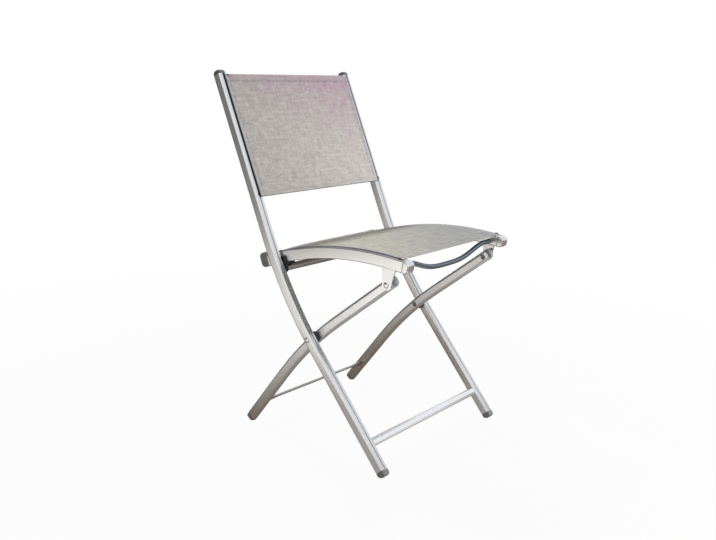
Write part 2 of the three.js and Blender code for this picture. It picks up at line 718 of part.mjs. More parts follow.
// Slider, modelled with the crossbar at the origin and the rail's underside level above it
const underside = CROSSBAR_DIAMETER / 2 + SADDLE;
const saddleTop = underside - SLIDE_GAP;
const halfSlider = SLIDER_LENGTH / 2;
const origin = new THREE.Vector2(0, 0);
const cheekInner = RAIL_OUTER + SEAT_GAP;
const cheekOuter = POST_INNER - SLIDE_GAP;
const halfNeck = TEE_MOUTH / 2 - SLIDE_GAP;
const halfTee = TEE_WIDTH / 2 - SLIDE_GAP;
const teeLow = underside + TEE_LIP + SLIDE_GAP;
const teeHigh = underside + TEE_LIP + TEE_HEIGHT - SLIDE_GAP;
const cheek = [
  [-halfSlider, -saddleTop, saddleTop * 0.8],
  [halfSlider, -saddleTop, saddleTop * 0.8],
  [halfSlider, underside + CHEEK_RISE, 5],
  [-halfSlider, underside + CHEEK_RISE, 5],
];
const sliderBlock = join(
  box(-cheekOuter, -RAIL_INNER, -halfSlider, halfSlider, saddleTop / 2, saddleTop),
  box(-RAIL_X - halfNeck, -RAIL_X + halfNeck, -halfSlider, halfSlider, saddleTop / 2, teeHigh),
  box(-RAIL_X - halfTee, -RAIL_X + halfTee, -halfSlider, halfSlider, teeLow, teeHigh),
  sidePlate(cheek, cheekInner, cheekOuter),
);
const barHole = crossBar(CROSSBAR_DIAMETER + 2 * SEAT_GAP, -CHAIR_WIDTH, 0, origin);
const slider = cut(sliderBlock, barHole);
slider.rotateX(-RAIL_TILT).translate(0, crossbarAt.x, crossbarAt.y);
addPair(sliders, "slider", slider, blackPlastic);

// Seat rails, each with a socket for the front bow in its inner side
const bowAt = railCentre.clone().add(
  along(Math.PI / 2 - RAIL_TILT + (railReach - BOW_SETBACK) / RAIL_RADIUS, RAIL_RADIUS - BOW_DROP),
);
const bowEnd = RAIL_INNER + BOW_SOCKET;
const bowSocket = crossBar(BOW_DIAMETER + 2 * SEAT_GAP, -bowEnd - SEAT_GAP, 0, bowAt, 20);
addPair(seat, "seat_rail", cut(sweep(railSection(), railPath), bowSocket), anodised);
const railSpigot = {
  x: 0,
  width: RAIL_WIDTH - 2 * WALL,
  height: RAIL_HOLLOW_HIGH - RAIL_HOLLOW_LOW,
  length: SPIGOT_LENGTH,
};
const railSpigotY = (RAIL_HOLLOW_HIGH + RAIL_HOLLOW_LOW) / 2;
const frontCap = endCap(RAIL_WIDTH, RAIL_HEIGHT, RAIL_CORNER, RAIL_FRONT_CAP_LENGTH, CAP_NOSE, {
  ...railSpigot,
  y: railSpigotY,
});
addPair(seat, "rail_front_cap", onEnd(frontCap, railPath, false), palePlastic);

// The rear cap's tongue fills the tee slot up to the slider, which stops the seat when it is open.
const rearSpigot = { ...railSpigot, y: -railSpigotY };
const rearCap = endCap(
  RAIL_WIDTH,
  RAIL_HEIGHT,
  RAIL_CORNER,
  RAIL_REAR_CAP_LENGTH,
  CAP_NOSE,
  rearSpigot,
  RAIL_REAR_CAP_RISE,
);
const tongueSection = new THREE.Shape();
const tongueLow = -RAIL_HEIGHT / 2 + TEE_LIP + SLIDE_GAP;
const tongueHigh = -RAIL_HEIGHT / 2 + TEE_LIP + TEE_HEIGHT - SLIDE_GAP;
roundedOutline(
  [
    [-halfTee, tongueLow],
    [halfTee, tongueLow],
    [halfTee, tongueHigh],
    [-halfTee, tongueHigh],
  ],
  tongueSection,
);
const tongueStart = (halfSlider + SEAT_GAP) * (RAIL_RADIUS / saddleRadius);
const tongue = sweep(tongueSection, railArc(-RAIL_X, tongueStart, RAIL_TAIL + RAIL_REAR_CAP_LENGTH / 2, 4));
addPair(seat, "rail_rear_cap", join(onEnd(rearCap, railPath, true), tongue), darkPlastic);

// Front bow, its ends in the rails' sockets
class BowCurve extends THREE.Curve {
  getPoint(t, target = new THREE.Vector3()) {
    const x = THREE.MathUtils.lerp(-bowEnd, bowEnd, t);
    const share = Math.min(1, Math.abs((2 * x) / BOW_DIP_WIDTH));
    const dip = (BOW_DIP / 2) * (1 + Math.cos(Math.PI * share ** BOW_FLATNESS));
    return target.set(x, bowAt.x, bowAt.y - dip);
  }
}
const bowSection = new THREE.Shape().absarc(0, 0, BOW_DIAMETER / 2, 0, 2 * Math.PI);
const bow = new THREE.ExtrudeGeometry(bowSection, { steps: 24, extrudePath: new BowCurve(), curveSegments: 5 });
add(seat, "front_bow", bow, bluedSteel);

// Seat brackets, shaped to the underside and the rounded corner of the rail above them
const lug = BRACKET_LUG_RADIUS;
const heel = bracketPivot.x + lug + BRACKET_HEEL;
const toe = heel - BRACKET_ROOT;
const bracketOutline = [
  [bracketPivot.x + lug, bracketPivot.y - lug, lug * 0.9],
  [bracketPivot.x + lug, bracketPivot.y + 1.6 * lug, 2 * lug],
  [heel, railHeight(heel)],
  [toe, railHeight(toe)],
  [bracketPivot.x + lug - BRACKET_NECK, bracketPivot.y + 2.1 * lug, 1.4 * lug],
  [bracketPivot.x - lug, bracketPivot.y - lug, lug * 0.9],
];
const plate = sidePlate(bracketOutline, BRACKET_INNER, RAIL_OUTER);
const railRoom = sweep(
  rectangle(RAIL_WIDTH + 2 * SEAT_GAP, RAIL_HEIGHT + 2 * SEAT_GAP, RAIL_CORNER + SEAT_GAP),
  railArc(-RAIL_X, -railReach - RAIL_FRONT_CAP_LENGTH, RAIL_TAIL, 12),
);
const plateHole = crossBar(shankHole, -CHAIR_WIDTH, 0, bracketPivot, 16);
addPair(seat, "seat_bracket", cut(plate, railRoom, plateHole), anodised);
const headDepth = PIVOT_HEAD_HEIGHT + SEAT_GAP + BRACKET_THICKNESS;
const bracketPin = turned(
  [
    [0, 0],
    [RIVET_HEAD * 0.38, PIVOT_HEAD_HEIGHT * 0.25],
    [RIVET_HEAD / 2, PIVOT_HEAD_HEIGHT],
    [RIVET_SHANK / 2, PIVOT_HEAD_HEIGHT],
    [RIVET_SHANK / 2, headDepth],
    [0, headDepth],
  ],
  RAIL_OUTER + SEAT_GAP + PIVOT_HEAD_HEIGHT,
  bracketPivot,
);
addPair(seat, "bracket_pin", bracketPin, brightRivet);

// Seat sling over the rails' tops, and its splines in the tracks
const seatFront = -railReach + SEAT_SLING_FRONT;
const seatSheet = sweep(slingSection(TRACK_X, RAIL_HEIGHT / 2), railArc(0, seatFront, SEAT_SLING_REAR, 12));
add(seat, "seat_sling", seatSheet, textile);
const seatSplineSection = new THREE.Shape();
seatSplineSection.absarc(0, RAIL_HEIGHT / 2 - TRACK_DEPTH, SPLINE_DIAMETER / 2, 0, 2 * Math.PI);
const seatSplinePath = railArc(-TRACK_X, seatFront, SEAT_SLING_REAR, 10);
addPair(seat, "seat_spline", sweep(seatSplineSection, seatSplinePath, 4), cordPlastic);

const chair = new THREE.Group();
chair.name = "folding_garden_chair";
chair.add(frame, legs, sliders, seat);

export default chair;
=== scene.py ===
# %% [markdown]
# # A folding garden chair, dressed for its picture
#
# The chair is a bent aluminium frame with two slings of woven textile. The CAD model already holds every
# rigid piece at its true size, so this lesson adds what CAD leaves out: finishes, cloth, sewing and light.
# Everything is in metres, in the CAD's own frame. The chair faces -Y, and +Z is up.

# %% Load the frame
import json
import math

import bmesh
import bpy
from mathutils import Matrix, Vector


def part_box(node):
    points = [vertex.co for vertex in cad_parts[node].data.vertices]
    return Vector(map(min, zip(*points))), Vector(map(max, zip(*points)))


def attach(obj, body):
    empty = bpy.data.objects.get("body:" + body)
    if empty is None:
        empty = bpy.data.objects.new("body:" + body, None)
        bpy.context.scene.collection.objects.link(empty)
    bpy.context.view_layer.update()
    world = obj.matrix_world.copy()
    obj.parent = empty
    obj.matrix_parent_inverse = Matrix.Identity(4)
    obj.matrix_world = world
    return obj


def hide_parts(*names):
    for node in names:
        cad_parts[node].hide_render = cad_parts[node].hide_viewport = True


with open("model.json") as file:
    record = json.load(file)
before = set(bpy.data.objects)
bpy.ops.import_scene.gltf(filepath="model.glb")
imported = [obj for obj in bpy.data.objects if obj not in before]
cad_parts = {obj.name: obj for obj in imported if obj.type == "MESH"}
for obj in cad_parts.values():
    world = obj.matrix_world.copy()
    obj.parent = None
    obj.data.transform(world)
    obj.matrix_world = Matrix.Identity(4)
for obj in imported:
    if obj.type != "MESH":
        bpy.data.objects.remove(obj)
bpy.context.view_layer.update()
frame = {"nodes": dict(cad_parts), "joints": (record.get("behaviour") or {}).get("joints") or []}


# %% [markdown]
# ## The camera
#
# The photograph shows the chair from its right front, from a little above the back. A camera could be
# placed by eye, but a small error in lens or tilt shears all the legs. These numbers come from matching the
# chair's corners to the photograph: a turn, a slight downward tilt, and a roll of about two degrees.

# %% Camera
CAMERA_AT = Vector((-1.5818, -1.2131, 0.8432))
TURN, TILT, ROLL = math.radians(52.203), math.radians(-13.541), math.radians(2.226)
FOCAL_PIXELS = 879.5
PICTURE_WIDTH = 716
SENSOR_MM = 36

ahead = Vector((math.sin(TURN) * math.cos(TILT), math.cos(TURN) * math.cos(TILT), math.sin(TILT)))
level_right = ahead.cross(Vector((0, 0, 1))).normalized()
level_up = level_right.cross(ahead)
right = level_right * math.cos(ROLL) + level_up * math.sin(ROLL)
up = level_up * math.cos(ROLL) - level_right * math.sin(ROLL)

camera = bpy.data.objects.new("camera", bpy.data.cameras.new("camera"))
camera.data.sensor_width = SENSOR_MM
camera.data.lens = FOCAL_PIXELS / PICTURE_WIDTH * SENSOR_MM
camera.matrix_world = Matrix.Translation(CAMERA_AT) @ Matrix((right, up, -ahead)).transposed().to_4x4()
bpy.context.scene.collection.objects.link(camera)
bpy.context.scene.camera = camera
print("lens in mm:", round(camera.data.lens, 2))

# %% [markdown]
# ## Shader maths as plain arithmetic
#
# A procedural finish is a sum of small patterns, and wiring each sum by hand hides the idea. This class
# wraps one output of a node tree, so that `0.3 + 0.1 * lines` adds the Math nodes itself. Colours are mixed
# by a Mix node, and any other node comes from `node`, which takes its type, its settings and its sockets.

# %% Sockets that add and multiply
class Socket:
    """One output of a node tree. Without an output it is a handle on the tree itself."""

    def __init__(self, tree, output=None):
        self.tree = tree
        self.output = output

    def node(self, kind, settings=None, inputs=None, output=0):
        made = self.tree.nodes.new(kind)
        for name, value in (settings or {}).items():
            setattr(made, name, value)
        for key, value in (inputs or {}).items():
            if isinstance(value, Socket):
                self.tree.links.new(value.output, made.inputs[key])
            else:
                made.inputs[key].default_value = value
        return Socket(self.tree, made.outputs[output])

    def math(self, operation, *values):
        return self.node("ShaderNodeMath", {"operation": operation}, dict(enumerate(values)))

    def __add__(self, other):
        return self.math("ADD", self, other)

    __radd__ = __add__

    def __sub__(self, other):
        return self.math("SUBTRACT", self, other)

    def __rsub__(self, other):
        return self.math("SUBTRACT", other, self)

    def __mul__(self, other):
        return self.math("MULTIPLY", self, other)

    __rmul__ = __mul__

    def __truediv__(self, other):
        return self.math("DIVIDE", self, other)

    def __rtruediv__(self, other):
        return self.math("DIVIDE", other, self)

    def __abs__(self):
        return self.math("ABSOLUTE", self)

    def mix(self, low, high):
        """A colour between two, where this value is 0 and 1."""
        return self.node("ShaderNodeMix", {"data_type": "RGBA"}, {0: self, 6: low, 7: high}, 2)

    def times(self, colour, tone):
        """A colour that is multiplied by a tone where this value is 1, so that its pattern stays."""
        settings = {"data_type": "RGBA", "blend_type": "MULTIPLY"}
        return self.node("ShaderNodeMix", settings, {0: self, 6: colour, 7: tone}, 2)

    def rise(self, low, high):
        """0 at low, 1 at high, level beyond them and smooth between them."""
        settings = {"interpolation_type": "SMOOTHSTEP"}
        return self.node("ShaderNodeMapRange", settings, {"Value": self, "From Min": low, "From Max": high})

    def noise(self, detail=2.0, roughness=0.5):
        """Soft noise from 0 to 1, read at this vector."""
        inputs = {"Vector": self, "Scale": 1.0, "Detail": detail, "Roughness": roughness}
        return self.node("ShaderNodeTexNoise", {}, inputs)

    def bump(self, strength, distance):
        """A surface normal that stands up where this value is high."""
        return self.node("ShaderNodeBump", {}, {"Strength": strength, "Distance": distance, "Height": self})


print("socket maths ready")

# %% [markdown]
# ## Patterns and colours
#
# Noise is read at a vector. Where the vector grows faster, the blots are smaller, so a scale is a number of
# blots per metre. Colours are linear, not as on a screen: a grey of 0.2 looks about half as bright as
# white.

# %% Vectors and colours
def vector(x, y, z):
    """A vector of three values, of which at least one is a socket."""
    tree = next(value for value in (x, y, z) if isinstance(value, Socket))
    return tree.node("ShaderNodeCombineXYZ", {}, {0: x, 1: y, 2: z})


def speckle(spot, per_metre, roughness=0.5):
    """Noise with blots of one size in all directions."""
    x, y, z = spot
    return vector(x * per_metre, y * per_metre, z * per_metre).noise(2, roughness)


def apart(across, along):
    """The length of a step across and along."""
    return across.math("SQRT", across * across + along * along)


def grey(level, warmth=0.0):
    return (level * (1 + warmth), level, level * (1 - warmth), 1)


def tint(level, red, green, blue):
    return (level * red, level * green, level * blue, 1)


WHITE = (1, 1, 1, 1)
print("a warm grey:", [round(value, 3) for value in grey(0.2, 0.05)])

# %% [markdown]
# ## A finish, and where a point lies on its piece
#
# Object coordinates give a point's place in the chair, since every piece keeps its place in its vertices. A
# bent tube needs more: its drawing lines run along the bend. So a point is measured along and across a path
# of straight, arc, straight, by its angle round the bend's centre, held between the angles where the bend
# starts and ends. The rails are arched all along, and the CAD's slide joint has its axis in the arch's
# centre.

# %% Places on a piece
def begin_finish(name):
    """A new material, its tree and its surface shader."""
    material = bpy.data.materials.new(name)
    material.use_nodes = True
    tree = material.node_tree
    return material, Socket(tree), tree.nodes["Principled BSDF"]


def feed(shader, **sockets):
    """Link or set the shader's sockets, named in lower case with underscores."""
    for name, value in sockets.items():
        target = shader.inputs[name.replace("_", " ").title().replace("Ior", "IOR")]
        if isinstance(value, Socket):
            value.tree.links.new(value.output, target)
        else:
            target.default_value = value


def place(tree):
    """A point's place in the chair, as three values in metres."""
    spot = tree.node("ShaderNodeTexCoord", {}, {}, "Object")
    return [tree.node("ShaderNodeSeparateXYZ", {}, {0: spot}, axis) for axis in "XYZ"]


def on_path(tree, centre, radius, first, last):
    """How far a point lies along a bent path, and how far off it, away from the bend's centre."""
    _, y, z = place(tree)
    ahead_of, above = y - centre[0], z - centre[1]
    turn = tree.math("ARCTAN2", above, ahead_of)
    turn = tree.math("MINIMUM", tree.math("MAXIMUM", turn, first), last)
    cosine, sine = tree.math("COSINE", turn), tree.math("SINE", turn)
    off = ahead_of * cosine + above * sine - radius
    return turn * radius + above * cosine - ahead_of * sine, off


# Each joint's axis in the side view, as y and z.
JOINT_AT = {joint["name"]: joint["pos_m"][1:] for joint in frame["joints"]}
# A path is its bend's centre as y and z, the radius, and the angles where the bend starts and ends.
POST_PATH = ((-0.79386, 0.87217), 0.985, math.radians(-40.8), math.radians(-24.4))
LEG_PATH = ((-0.63470, -0.38778), 0.880, math.radians(37), math.radians(51.1))
RAIL_PATH = (JOINT_AT["seat_slide"], 0.745, 0.0, math.pi)
print("bends of post, leg and rail in metres:", [path[1] for path in (POST_PATH, LEG_PATH, RAIL_PATH)])

# %% [markdown]
# ## Anodised aluminium
#
# The posts, legs, rails and bars are satin anodised aluminium. It is a metal, so its colour is what it
# mirrors, softened by a fine etch. Drawing through the die leaves faint lines along each tube, so the noise
# is stretched along the path. The lines vary the roughness and a slight bump, and a slow cloud varies the
# tone. A dark line of painted shade follows the lips of the tracks that hold the cloth. Where a track is
# empty, its slot is painted pale and dull, as painted light, so that it doesn't read as a dark line. The
# front stretcher is a brighter copy of the metal, as painted light, and the crossbar and the thin rear rod
# are a darker copy, as painted shade.

# %% Anodised aluminium
ALUMINIUM, ALUMINIUM_LIGHT = grey(0.70, 0.004), grey(0.78, 0.002)
FLOOR_DIRT, PAINTED_SLOT_LIGHT = grey(0.34, 0.05), (0.80, 0.86, 0.92, 1)
DRAWN_ACROSS, DRAWN_ALONG = 1900, 9
CLOUD_ACROSS, CLOUD_ALONG = 60, 16


def in_track(x, z, off, track):
    """Two masks for the track in a post or rail: painted shade on its lips, and painted light inside.

    Its lips lie beside the slot at the tube's face, and the pale slot lies deeper.
    """
    from_slot = abs(abs(x) - track["x"])
    outward = off * track["side"]
    lips = (1 - from_slot.rise(0.0014, 0.0030)) * outward.rise(0.0092, 0.0102)
    lips = lips * z.rise(track["above"], track["above"] + 0.02)
    dust_and_slot_light = (1 - from_slot.rise(0.0016, 0.0026)) * (1 - outward.rise(0.0096, 0.0104))
    return lips, dust_and_slot_light


def anodised(name, path=None, track=None, tones=(ALUMINIUM, ALUMINIUM_LIGHT)):
    """Metal that was drawn along a path, or along x where none is given."""
    material, tree, shader = begin_finish(name)
    x, y, z = place(tree)
    if path:
        along, off = on_path(tree, *path)
        lines = vector(x * DRAWN_ACROSS, off * DRAWN_ACROSS, along * DRAWN_ALONG).noise(3, 0.6)
        cloud = vector(x * CLOUD_ACROSS, off * CLOUD_ACROSS, along * CLOUD_ALONG).noise(2)
    else:
        lines = vector(x * DRAWN_ALONG, y * DRAWN_ACROSS, z * DRAWN_ACROSS).noise(3, 0.6)
        cloud = vector(x * CLOUD_ALONG, y * CLOUD_ACROSS, z * CLOUD_ACROSS).noise(2)
    scratches = vector(x * 700, y * 260, z * 140).noise(1).rise(0.70, 0.74)
    near_floor = 1 - z.rise(0.0, 0.09)
    colour = (cloud * 0.7 + lines * 0.3).mix(*tones)
    colour = (near_floor * cloud * 0.5).mix(colour, FLOOR_DIRT)
    dust_and_slot_light = 0.0
    if track:
        lips, dust_and_slot_light = in_track(x, z, off, track)
        # The lips take painted shade, and the slot inside takes painted light, pale and dull.
        colour = lips.mix(dust_and_slot_light.mix(colour, PAINTED_SLOT_LIGHT), grey(track["painted_lip_shade"]))
    feed(
        shader,
        base_color=colour,
        metallic=1 - dust_and_slot_light,
        roughness=0.25 + lines * 0.07 + cloud * 0.05 + near_floor * 0.08 + scratches * 0.03 + dust_and_slot_light * 0.4,
        normal=(lines + scratches * 0.3).bump(strength=0.06, distance=0.0002),
    )
    return material


def middle_of(node):
    """The middle of a CAD node's box."""
    low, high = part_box(node)
    return (low + high) / 2


BACK_TRACK, SEAT_TRACK = middle_of("left_back_spline").x, middle_of("left_seat_spline").x
POST_METAL = anodised("anodised post", POST_PATH, {"x": BACK_TRACK, "side": -1, "above": 0.53, "painted_lip_shade": 0.04})
LEG_METAL = anodised("anodised leg", LEG_PATH)
RAIL_METAL = anodised("anodised rail", RAIL_PATH, {"x": SEAT_TRACK, "side": 1, "above": 0.40, "painted_lip_shade": 0.42})
BAR_METAL = anodised("anodised bar")
# A brighter copy of the aluminium, as painted light on the front stretcher.
LIT_COPY_METAL = anodised("bar with painted light", tones=(grey(0.92), grey(0.97)))
# A darker copy of the aluminium, as painted shade on the crossbar and the rear rod.
SHADED_COPY_METAL = anodised("metal with painted shade", tones=(grey(0.40, 0.03), grey(0.48, 0.03)))
print("tracks from the middle, in metres:", round(BACK_TRACK, 4), round(SEAT_TRACK, 4))

# %% [markdown]
# ## Rivets and the blue-grey bars
#
# The rivet heads are bright steel, spun as they were closed, so rings run round each pivot's axis. The bow
# under the seat's front and the hidden spreader are steel with a smooth blue-grey coat of metallic paint,
# which shows faint orange peel and a clear gloss.

# %% Rivet metal and painted bars
RIVET_AXES = {"pivot": JOINT_AT["leg_fold"], "bracket": middle_of("left_bracket_pin").yz}


def rivet_metal(name, axis):
    material, tree, shader = begin_finish(name)
    spot = place(tree)
    rings = vector(apart(spot[1] - axis[0], spot[2] - axis[1]) * 4200, 0.0, 0.0).noise(2)
    smudge = speckle(spot, per_metre=500)
    feed(
        shader,
        base_color=smudge.mix(grey(0.66), grey(0.80)),
        metallic=1.0,
        roughness=0.16 + rings * 0.12 + smudge * 0.06,
        normal=rings.bump(strength=0.25, distance=0.0001),
    )
    return material


def painted_bar(name, dark, light):
    material, tree, shader = begin_finish(name)
    x, y, z = place(tree)
    peel = speckle((x, y, z), per_metre=420)
    fade_and_painted_light = vector(x * 30, y * 60, z * 60).noise(2)
    feed(
        shader,
        base_color=fade_and_painted_light.mix(dark, light),
        metallic=0.8,
        roughness=0.26 + peel * 0.10,
        coat_weight=0.2,
        coat_roughness=0.12,
        normal=peel.bump(strength=0.10, distance=0.0003),
    )
    return material


PIVOT_RIVET = rivet_metal("pivot rivet", RIVET_AXES["pivot"])
BRACKET_RIVET = rivet_metal("bracket rivet", RIVET_AXES["bracket"])
BLUE_GREY = painted_bar("blue-grey painted bar", (0.150, 0.185, 0.235, 1), (0.210, 0.255, 0.315, 1))
print("rivets turn about y and z:", {name: [round(v, 4) for v in axis] for name, axis in RIVET_AXES.items()})

# %% [markdown]
# ## Moulded plastics
#
# Post caps, feet and the rails' rear ends are moulded grey, the legs' tops blue-grey, the plugs in the legs
# a warm grey, and the sliders and spacers black. The cords that hold the cloth in the tracks are dark. The
# caps on the rails' fronts are lacquered silver to match the tubes, so they are almost a metal. A mould
# leaves an even spark-eroded grain, and handling polishes it in patches. Feet pick up dust near the floor.

# %% Plastics
MOULD_DUST = grey(0.22, 0.06)


def moulded(name, dark, light, gloss, silver=0.0):
    material, tree, shader = begin_finish(name)
    x, y, z = place(tree)
    grain = speckle((x, y, z), per_metre=1500, roughness=0.6)
    patches = speckle((x, y, z), per_metre=120)
    dust_and_slot_light = (1 - z.rise(0.0, 0.02)) * patches
    feed(
        shader,
        base_color=(dust_and_slot_light * 0.6).mix((patches * 0.6 + grain * 0.4).mix(dark, light), MOULD_DUST),
        metallic=silver,
        roughness=gloss + grain * 0.14 - patches * 0.08 + dust_and_slot_light * 0.2,
        normal=grain.bump(strength=0.22, distance=0.0002),
    )
    return material


DARK_PLASTIC = moulded("dark grey moulding", grey(0.115, -0.02), grey(0.155, -0.02), 0.45)
GREY_PLASTIC = moulded("grey moulding", grey(0.20, 0.02), grey(0.27, 0.02), 0.45)
BLUE_PLASTIC = moulded("blue-grey moulding", grey(0.33, -0.06), grey(0.42, -0.06), 0.35)
BLACK_PLASTIC = moulded("black moulding", grey(0.012, -0.3), grey(0.022, -0.3), 0.45)
SILVER_PLASTIC = moulded("silver moulding", grey(0.70, 0.01), grey(0.80, 0.01), 0.26, 0.9)
PLUG_PLASTIC = moulded("plug moulding", grey(0.24, 0.06), grey(0.32, 0.06), 0.40)
CORD_PLASTIC = moulded("edge cord", grey(0.10), grey(0.16), 0.50)
print("plastics: dark, grey, blue-grey, black, silver, plug and cord")

# %% [markdown]
# ## Woven textile
#
# The slings are woven from coated yarn, a light warp and a darker, browner weft, in a plain weave of about
# 1.6 mm. One sine in each direction gives it: their product is above zero where the warp lies on top. Yarn
# is never quite even, so streaks follow the yarns both ways, and a grain breaks them up like tweed. Beside
# the tracks the cloth is painted pale and bluish, a painted highlight on its edges, and it dives into them
# in the dark. The slings have no UV map: the weave follows the post or the rail that the cloth is
# stretched over.

# %% Woven cloth
YARN = 0.0016
DARK_YARN, LIGHT_YARN = 0.72, 1.28
PAINTED_EDGE_HIGHLIGHT = (0.47, 0.50, 0.55, 1)
SEAM_LEAVES = 0.68


def woven(name, path, track, plain, tinted, shadow, lean, fade_and_painted_light, contrast, hem, seams):
    """Cloth that turns from plain to tinted along a slope in x, y and z, and lighter with x as painted light.

    hem gives the axis on which the edge with painted shade lies, where it starts, where it is full, and how
    much light it leaves. seams gives an axis and a place on it for each seam, which darkens the cloth in
    broken, puckered lines.
    """
    material, tree, shader = begin_finish(name)
    x, y, z = place(tree)
    along, _ = on_path(tree, *path)

    def blots(per_metre_across, per_metre_along, layer, detail=2):
        return vector(x * per_metre_across, along * per_metre_along, layer).noise(detail)

    weave = tree.math("SINE", x * (math.pi / YARN)) * tree.math("SINE", along * (math.pi / YARN))
    warp_streak = blots(160, 28, 0.0)
    weft_streak = blots(40, 150, 3.0)
    grain = blots(240, 220, 5.0, detail=1)
    mottle = blots(30, 40, 7.0)
    pucker = blots(110, 110, 9.0, detail=1).rise(0.32, 0.68)
    hue = (mottle * 0.8 + x * lean[0] + y * lean[1] + z * lean[2] + lean[3]).rise(0.2, 0.8)
    uneven = (warp_streak - 0.5) * 0.75 + (weft_streak - 0.5) * 0.9
    uneven = uneven + (grain - 0.5) * 0.8 + (mottle - 0.5) * 0.5
    # The slope in x is painted light: the back gets lighter towards the chair's left.
    shade = 0.5 + uneven * contrast + weave * 0.16 + x * fade_and_painted_light
    dark = hue.mix(tint(DARK_YARN, *plain), tint(DARK_YARN, *tinted))
    light = hue.mix(tint(LIGHT_YARN, *plain), tint(LIGHT_YARN, *tinted))
    from_middle = abs(x)
    into_track = from_middle.rise(track - 0.0042, track - 0.0022)
    # A pale, bluish band beside each track is a painted highlight on the cloth's edge.
    edge_highlight = from_middle.rise(track - 0.022, track - 0.006) * 0.4
    # The hem's edge is darkened as painted shade: the fold at the back's foot and the rear of the seat.
    axis, starts, full, leaves = hem
    painted_hem_shade = {"y": y, "z": z}[axis].rise(starts, full) * (0.5 + mottle)
    cloth = painted_hem_shade.times(edge_highlight.mix(shade.mix(dark, light), PAINTED_EDGE_HIGHLIGHT), grey(leaves))
    for axis, at in seams:
        from_seam = abs({"x": from_middle, "z": z}[axis] - at)
        cloth = ((1 - from_seam.rise(0.0008, 0.0036)) * pucker).times(cloth, grey(SEAM_LEAVES))
    feed(
        shader,
        base_color=into_track.mix(cloth, grey(shadow)),
        roughness=0.66 + warp_streak * 0.12 - weave * 0.06,
        specular_ior_level=0.1,
        normal=(weave + grain).bump(strength=0.5, distance=0.0004),
    )
    return material


print("weave of", YARN * 1000, "mm")

# %% [markdown]
# ## The colours of the two slings
#
# The back turns from straw to a darker mauve towards its top, the seat from olive to a darker ash towards
# its front left, and the back gets lighter towards the chair's left as painted light. The fold at the back's
# foot and the seat's rear hem are darkened as painted shade. The back's top hem and side sleeves are sewn,
# and their seams are darkened in broken lines. The thread is a twisted grey yarn.

# %% Sling cloths and thread
STRAW, MAUVE = (0.570, 0.526, 0.500), (0.455, 0.348, 0.402)
OLIVE, ASH = (0.530, 0.512, 0.445), (0.370, 0.370, 0.366)
SIDE_SEAM = 0.2005
HEM_SEAM_HEIGHT = 0.7841
# Where the hems are darkened as painted shade: axis, start, full, and the light that is left.
BACK_FOOT_DARK = ("z", 0.5427, 0.5415, 0.1)
SEAT_REAR_PAINTED_SHADE = ("y", 0.015, 0.085, 0.66)


def thread(name):
    material, tree, shader = begin_finish(name)
    twist = speckle(place(tree), per_metre=2600)
    feed(
        shader,
        base_color=twist.mix(grey(0.36, 0.02), grey(0.48, 0.02)),
        roughness=0.55 + twist * 0.2,
        normal=twist.bump(strength=0.4, distance=0.0002),
    )
    return material


BACK_CLOTH = woven(
    "back textile", POST_PATH, BACK_TRACK, plain=STRAW, tinted=MAUVE, shadow=0.04,
    lean=(0.8, 0.0, 2.5, -1.80), fade_and_painted_light=0.9, contrast=1.05, hem=BACK_FOOT_DARK,
    seams=[("x", SIDE_SEAM), ("z", HEM_SEAM_HEIGHT)],
)
SEAT_CLOTH = woven(
    "seat textile", RAIL_PATH, SEAT_TRACK, plain=OLIVE, tinted=ASH, shadow=0.24,
    lean=(1.6, -1.6, 0.0, -0.12), fade_and_painted_light=0.0, contrast=1.25, hem=SEAT_REAR_PAINTED_SHADE, seams=[],
)
THREAD = thread("sewing thread")
print("textiles:", BACK_CLOTH.name, "and", SEAT_CLOTH.name)

# %% [markdown]
# ## Dressing the rigid pieces
#
# A CAD mesh is faceted and its edges are razor sharp, which no drawn tube or moulding is. Modifiers mend
# that without touching a vertex: a weld joins the facets, a small bevel breaks the edges so that they catch
# light, and weighted normals keep the wide faces flat. The slings aren't in the list, since cloth takes
# their place.

# %% Dress the CAD nodes
FINISH_OF = {
    "post": POST_METAL,
    "rear_leg": LEG_METAL,
    "seat_rail": RAIL_METAL,
    "seat_bracket": BAR_METAL,
    "front_stretcher": LIT_COPY_METAL,
    "seat_crossbar": SHADED_COPY_METAL,
    "rear_rod": SHADED_COPY_METAL,
    "pivot_rivet": PIVOT_RIVET,
    "leg_pin": BRACKET_RIVET,
    "bracket_pin": BRACKET_RIVET,
    "front_bow": BLUE_GREY,
    "back_spreader": BLUE_GREY,
    "post_cap": DARK_PLASTIC,
    "front_foot": GREY_PLASTIC,
    "rear_foot": GREY_PLASTIC,
    "rail_rear_cap": GREY_PLASTIC,
    "leg_cap": BLUE_PLASTIC,
    "rail_front_cap": SILVER_PLASTIC,
    "slider": BLACK_PLASTIC,
    "pivot_spacer": BLACK_PLASTIC,
    "back_spline": CORD_PLASTIC,
    "seat_spline": CORD_PLASTIC,
}
EDGE = 0.0004
ROUND = {"rail_front_cap": 0.0025, "rail_rear_cap": 0.0015, "leg_cap": 0.0012}
WELD_REACH = 0.00001
SHARP_FROM = math.radians(35)


def smooth(piece):
    for polygon in piece.data.polygons:
        polygon.use_smooth = True


def dress(piece, material, edge):
    piece.data.materials.clear()
    piece.data.materials.append(material)
    smooth(piece)
    weld = piece.modifiers.new("weld", "WELD")
    weld.merge_threshold = WELD_REACH
    bevel = piece.modifiers.new("edges", "BEVEL")
    bevel.width = edge
    bevel.segments = 2
    bevel.limit_method = "ANGLE"
    bevel.angle_limit = SHARP_FROM
    normals = piece.modifiers.new("normals", "WEIGHTED_NORMAL")
    normals.keep_sharp = False


